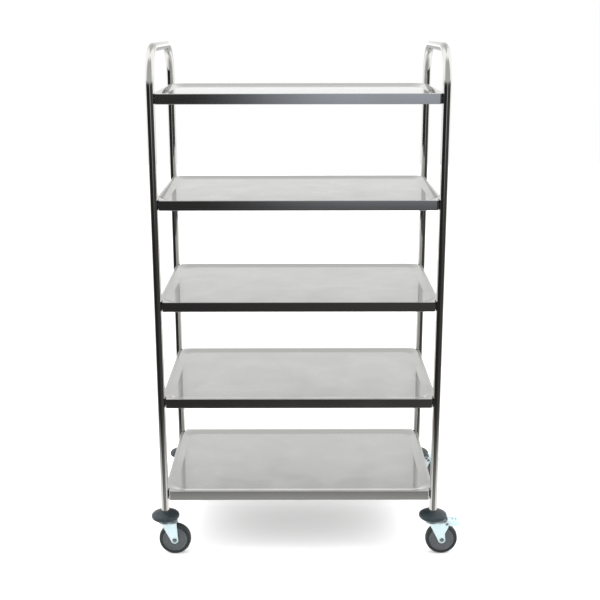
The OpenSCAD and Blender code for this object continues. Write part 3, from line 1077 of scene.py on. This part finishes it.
@dataclass
class Castor:
    """One swivel castor with its socket, round bumper, fork and wheel.

    Attributes:
        corner: Which castor.
        bumper_bore: Radius of the bumper's bore.
        bumper_seat: Radius of the flat that the leg stands on.
        bumper_edge: Radius of the bumper's round edge.
        hub_bore: Radius of the hub's bore.
        boss_r: Radius of the hub's boss.
        hub_rim: Half the width of the hub's rim.
        web_drop: How deep the hub's web lies below the rim.
        ring_h: Height of the fine rings on the web.
        shoulder: Radius of the tyre's shoulders.
        pieces: What has been built, by the last part of its CAD node's name.
    """

    corner: Corner
    bumper_bore: float = 6.3 * MM
    bumper_seat: float = 12.8 * MM
    bumper_edge: float = 8 * MM
    hub_bore: float = 6.05 * MM
    boss_r: float = 12 * MM
    hub_rim: float = 11.5 * MM
    web_drop: float = 3 * MM
    ring_h: float = 1.5 * MM
    shoulder: float = 5 * MM
    pieces: dict[str, bpy.types.Object] = field(default_factory=dict)

    def node(self, part: str) -> str:
        """The CAD node's name for one of the castor's parts."""
        return f"{self.corner.value}_{part}"

    def bumper(self) -> bpy.types.Object:
        """The moulded disc: a round edge, a shallow dome, a seat for the leg, hollow underneath.

        Returns:
            The bumper.
        """
        low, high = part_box(self.node("bumper"))
        radius = (high.x - low.x) / 2
        height = high.z - low.z
        seat = self.bumper_seat
        edge = self.bumper_edge
        edge_x = radius - edge
        side = math.radians(60)
        crown = math.radians(86)
        dome_r = (edge_x + edge * math.cos(side) - seat) / (math.cos(side) - math.cos(crown))
        dome = arc((edge_x - (dome_r - edge) * math.cos(side),
                    edge - (dome_r - edge) * math.sin(side)), dome_r, 60, 85, 12)
        groove = 1.4 * MM
        profile = [(self.bumper_bore, 0.0), (radius - 20 * MM, 0.0),
                   (radius - 18.5 * MM, groove), (radius - 13 * MM, groove),
                   (radius - 11.5 * MM, 0.0)]
        profile += arc((edge_x, edge), edge, -88, -4, 9)
        # the bead where the two halves of the mould meet
        inside = radius - 0.25 * MM
        profile += [(inside, edge - 0.4 * MM), (radius, edge), (inside, edge + 0.4 * MM)]
        profile += arc((edge_x, edge), edge, 5, 56, 6) + dome
        profile += [(seat + 0.6 * MM, height - 0.3 * MM), (seat, height),
                    (self.bumper_bore, height)]
        centre = Vector(((low.x + high.x) / 2, (low.y + high.y) / 2, low.z))
        return lathe(self.node("bumper_disc"), profile, centre, Matrix.Identity(3), 96)

    def wheel_middle(self) -> Vector:
        """Where the axle crosses the middle of the wheel."""
        low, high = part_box(self.node("tyre"))
        return (low + high) / 2

    def hub(self) -> bpy.types.Object:
        """The moulded hub: a boss, a dished web with fine raised rings, and the rim.

        Returns:
            The hub.
        """
        low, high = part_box(self.node("hub"))
        rim_r = (high.z - low.z) / 2
        boss_h = (high.y - low.y) / 2
        rim_h = self.hub_rim
        web_h = rim_h - self.web_drop
        bore = self.hub_bore
        half = [(bore, boss_h - 0.4 * MM), (bore + 0.4 * MM, boss_h),
                (self.boss_r - 0.6 * MM, boss_h), (self.boss_r, boss_h - 0.6 * MM),
                (self.boss_r + 0.8 * MM, web_h + 0.5 * MM), (self.boss_r + 1.6 * MM, web_h)]
        for ring in (rim_r - 14 * MM, rim_r - 9 * MM):
            half += [(ring - 1.0 * MM, web_h), (ring - 0.7 * MM, web_h + self.ring_h),
                     (ring + 0.7 * MM, web_h + self.ring_h), (ring + 1.0 * MM, web_h)]
        half += [(rim_r - 4.4 * MM, web_h), (rim_r - 3.6 * MM, web_h + 0.5 * MM),
                 (rim_r - 3.0 * MM, rim_h - 0.5 * MM), (rim_r - 2.5 * MM, rim_h),
                 (rim_r - 0.5 * MM, rim_h), (rim_r, rim_h - 0.5 * MM)]
        profile = half + [(r, -h) for r, h in reversed(half)]
        turn = Matrix.Rotation(-math.pi / 2, 3, "X")
        return lathe(self.node("hub_moulding"), profile, self.wheel_middle(), turn, 96)

    def tyre(self) -> bpy.types.Object:
        """The moulded tyre: a lightly crowned tread, round shoulders and a groove by the hub.

        Returns:
            The tyre.
        """
        low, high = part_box(self.node("tyre"))
        radius = (high.z - low.z) / 2
        half_w = (high.y - low.y) / 2
        hub_low, hub_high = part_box(self.node("hub"))
        rim_r = (hub_high.z - hub_low.z) / 2
        half = [(rim_r + 0.05 * MM, half_w - 1.4 * MM), (rim_r + 0.4 * MM, half_w - 1.0 * MM),
                (rim_r + 1.2 * MM, half_w - 0.2 * MM), (rim_r + 1.8 * MM, half_w)]
        half += arc((radius - self.shoulder - 1.2 * MM, half_w - self.shoulder), self.shoulder,
                    88, 14, 10)
        half += [(radius - 0.85 * MM, half_w - 5.8 * MM), (radius - 0.3 * MM, half_w / 4)]
        profile = half + [(radius, 0.0)] + [(r, -h) for r, h in reversed(half)]
        turn = Matrix.Rotation(-math.pi / 2, 3, "X")
        return lathe(self.node("tyre_moulding"), profile, self.wheel_middle(), turn, 128)

    def build(self) -> None:
        """Builds the turned and moulded pieces that show."""
        self.pieces = {"bumper": self.bumper(), "hub": self.hub(), "tyre": self.tyre()}

    def dress(self, finishes: Finishes) -> None:
        """Finishes the castor's pieces and the nodes that stay.

        Args:
            finishes: The trolley's finishes.
        """
        moulded = {"bumper": finishes.bumper, "hub": finishes.hub, "tyre": finishes.tyre}
        for part, piece in self.pieces.items():
            dress(piece, moulded[part])
            stand_for(piece, self.node(part))
        plain = {"socket": finishes.hardware, "stem": finishes.hardware, "balls": finishes.balls,
                 "fork": finishes.zinc_sheet, "axle": finishes.hardware, "bush": finishes.bush}
        if self.corner.braked:
            plain["brake_pedal"] = finishes.zinc_sheet
            plain["brake_pin"] = finishes.hardware
            plain["brake_spring"] = finishes.spring
        for part, material in plain.items():
            dress_node(self.node(part), material)


# ---- Stage ----


@dataclass(frozen=True)
class SoftEdge:
    """A smooth change in how far one light covers another.

    Attributes:
        along: What the change follows.
        start: Where it starts.
        end: Where it ends.
        before: The cover before the start.
        after: The cover past the end.
    """

    along: Along
    start: float
    end: float
    before: float = 0.0
    after: float = 1.0


@dataclass
class Studio:
    """Plain pale floor, soft white surroundings, and the camera.

    Attributes:
        white: Brightness of the white surroundings.
        lift: How much more light matt surfaces get from them than mirrors show.
        floor_half: Half the side of the floor.
        floor_tone: How pale the floor is.
        floor_glow: Light the floor gives off, as a lit table does, which softens the shadows.
        room_left: The dark room's light on the left.
        room_right: Its light on the right.
        pale_wall: Light of the pale wall on its right.
        lens: The camera's focal length.
        camera_at: Where the camera stands.
        camera_turn: How it is turned, in degrees.
    """

    white: float = 1.25
    lift: float = 3.2
    floor_half: float = 9.0
    floor_tone: str = "F2F2F2"
    floor_glow: float = 0.18
    room_left: Colour = (0.022, 0.021, 0.021, 1.0)
    room_right: Colour = (0.058, 0.056, 0.055, 1.0)
    pale_wall: Colour = (0.93, 1.0, 1.12, 1.0)
    lens: float = 63.286
    camera_at: tuple[float, float, float] = (0.0043, -3.2619, 1.6202)
    camera_turn: tuple[float, float, float] = (90 - 14.831, 0.082, -0.006)

    def floor(self) -> None:
        """Lays the floor."""
        corners = [Vector((sx * self.floor_half, sy * self.floor_half, 0))
                   for sx, sy in ((-1, -1), (1, -1), (1, 1), (-1, 1))]
        plane = mesh_object("studio_floor", corners, [(0, 1, 2, 3)], weighted=False)
        material, tree, shader = new_material("matt_white_floor")
        shader.inputs["Base Color"].default_value = linear(self.floor_tone)
        shader.inputs["Roughness"].default_value = 1.0
        shader.inputs["Specular IOR Level"].default_value = 0.0
        shader.inputs["Emission Color"].default_value = grey(1.0)
        shader.inputs["Emission Strength"].default_value = self.floor_glow
        dress(plane, material)
        plane.visible_glossy = False

    @staticmethod
    def directions(tree: bpy.types.NodeTree) -> dict[Along, bpy.types.NodeSocket]:
        """Measures each direction of the surroundings.

        Args:
            tree: The world's node tree.

        Returns:
            One measure for each option.
        """
        place = add_node(tree, "ShaderNodeTexCoord", {}, {})
        way = add_node(tree, "ShaderNodeSeparateXYZ", {}, {"Vector": place.outputs["Generated"]})
        level = add_node(tree, "ShaderNodeVectorMath", {"operation": "MULTIPLY"},
                         {0: place.outputs["Generated"], 1: (1.0, 1.0, 0.0)})
        flat = add_node(tree, "ShaderNodeVectorMath", {"operation": "NORMALIZE"},
                        {0: level.outputs["Vector"]})
        bearing = add_node(tree, "ShaderNodeSeparateXYZ", {}, {"Vector": flat.outputs["Vector"]})
        right = bearing.outputs["X"]
        aside = add_node(tree, "ShaderNodeMath", {"operation": "MULTIPLY"}, {0: right, 1: right})
        return {Along.HEIGHT: way.outputs["Z"], Along.RIGHT: right,
                Along.BACK: bearing.outputs["Y"], Along.ASIDE: aside.outputs["Value"]}

    @staticmethod
    def cover(
        tree: bpy.types.NodeTree, ways: dict[Along, bpy.types.NodeSocket], under: Any, over: Any,
        *edges: SoftEdge
    ) -> bpy.types.NodeSocket:
        """Lays one light over another, inside soft edges.

        Args:
            tree: The world's node tree.
            ways: What the edges follow.
            under: The light underneath.
            over: The light that covers it.
            *edges: The edges, whose covers are multiplied.

        Returns:
            The two lights together.
        """
        share: Any = 1.0
        for edge in edges:
            ramp = add_node(tree, "ShaderNodeMapRange", {"interpolation_type": "SMOOTHSTEP"},
                            {"Value": ways[edge.along], "From Min": edge.start,
                             "From Max": edge.end, "To Min": edge.before, "To Max": edge.after})
            share = add_node(tree, "ShaderNodeMath", {"operation": "MULTIPLY"},
                             {0: share, 1: ramp.outputs["Result"]}).outputs["Value"]
        return add_node(tree, "ShaderNodeMix", {"data_type": "RGBA"},
                        {"Factor": share, 6: under, 7: over}).outputs[2]

    def tent(
        self, tree: bpy.types.NodeTree, ways: dict[Along, bpy.types.NodeSocket]
    ) -> bpy.types.NodeSocket:
        """White sides, a back wall that is brightest at the horizon, and a soft grey front above.

        Args:
            tree: The world's node tree.
            ways: What its edges follow.

        Returns:
            The tent's light.
        """
        wall: Any = grey(1.4)
        for light, start, end in ((1.0, 0.02, 0.07), (0.80, 0.07, 0.17), (0.6, 0.3, 0.68),
                                  (0.55, 0.0, -0.06)):
            wall = self.cover(tree, ways, wall, grey(light), SoftEdge(Along.HEIGHT, start, end))
        whole = self.cover(tree, ways, grey(self.white), wall, SoftEdge(Along.BACK, 0.7, 0.985))
        return self.cover(tree, ways, whole, grey(0.42), SoftEdge(Along.BACK, -0.12, -0.5),
                          SoftEdge(Along.HEIGHT, 1.02, 0.88, after=0.88))

    def opening(
        self, tree: bpy.types.NodeTree, ways: dict[Along, bpy.types.NodeSocket]
    ) -> bpy.types.NodeSocket:
        """The dark room in front, with a pale wall on its right and the lit floor close by.

        Args:
            tree: The world's node tree.
            ways: What its edges follow.

        Returns:
            The opening's light.
        """
        room = self.cover(tree, ways, self.room_left, self.room_right,
                          SoftEdge(Along.RIGHT, -0.3, 0.3))
        room = self.cover(tree, ways, room, self.pale_wall, SoftEdge(Along.RIGHT, -0.10, 0.045),
                          SoftEdge(Along.RIGHT, 0.26, 0.15),
                          SoftEdge(Along.HEIGHT, -0.225, -0.05, after=0.42))
        # the lit floor, straight ahead and then on either side
        room = self.cover(tree, ways, room, grey(1.0),
                          SoftEdge(Along.ASIDE, 0.03, 0.07, before=1.0, after=0.45),
                          SoftEdge(Along.HEIGHT, -0.36, -0.5, after=0.6))
        return self.cover(tree, ways, room, grey(1.0), SoftEdge(Along.ASIDE, 0.25, 0.6),
                          SoftEdge(Along.HEIGHT, -0.345, -0.44, after=0.95))

    def surroundings(self) -> None:
        """Lights the object from a white tent with a dark opening low at the front."""
        world = bpy.data.worlds.new("white_tent")
        world.use_nodes = True
        bpy.context.scene.world = world
        tree = world.node_tree
        tree.nodes.clear()
        ways = self.directions(tree)
        whole = self.cover(tree, ways, self.tent(tree, ways), self.opening(tree, ways),
                           SoftEdge(Along.BACK, 0.25, -0.05),
                           SoftEdge(Along.HEIGHT, 0.12, -0.055))
        path = add_node(tree, "ShaderNodeLightPath", {}, {})
        strength = add_node(tree, "ShaderNodeMapRange", {},
                            {"Value": path.outputs["Is Diffuse Ray"], "To Min": 1.0,
                             "To Max": self.lift})
        lit = add_node(tree, "ShaderNodeBackground", {},
                       {"Color": whole, "Strength": strength.outputs["Result"]})
        plain = add_node(tree, "ShaderNodeBackground", {}, {"Color": grey(1.0)})
        seen = add_node(tree, "ShaderNodeMixShader", {},
                        {0: path.outputs["Is Camera Ray"], 1: lit.outputs[0],
                         2: plain.outputs[0]})
        add_node(tree, "ShaderNodeOutputWorld", {}, {"Surface": seen.outputs[0]})

    def camera(self) -> None:
        """Sets the camera in front, a little above the top tray."""
        data = bpy.data.cameras.new("camera")
        data.lens = self.lens
        data.sensor_width = 36.0
        data.clip_start = 0.05
        data.clip_end = 60.0
        camera = bpy.data.objects.new("camera", data)
        bpy.context.scene.collection.objects.link(camera)
        camera.location = self.camera_at
        camera.rotation_euler = [math.radians(angle) for angle in self.camera_turn]
        bpy.context.scene.camera = camera

    def build(self) -> None:
        """Sets up the whole stage."""
        self.floor()
        self.surroundings()
        self.camera()
        bpy.context.scene.view_settings.view_transform = "Standard"


def main() -> None:
    """Builds and finishes the trolley, one sub-assembly after another."""
    logging.basicConfig(level=logging.INFO, format="%(name)s: %(message)s")
    finishes = Finishes()
    for side in Side:
        end = EndFrame(side)
        end.dress(end.build(), finishes)
    for level in Level:
        tray = Tray(level)
        tray.dress(tray.build(), finishes)
        stiffener = Stiffener(level)
        stiffener.dress(stiffener.build(), finishes)
    fixings = TrayFixings()
    fixings.dress(fixings.build(), finishes)
    for corner in Corner:
        castor = Castor(corner)
        castor.build()
        castor.dress(finishes)
    Studio().build()
    bpy.context.view_layer.update()


if __name__ == "__main__":
    main()
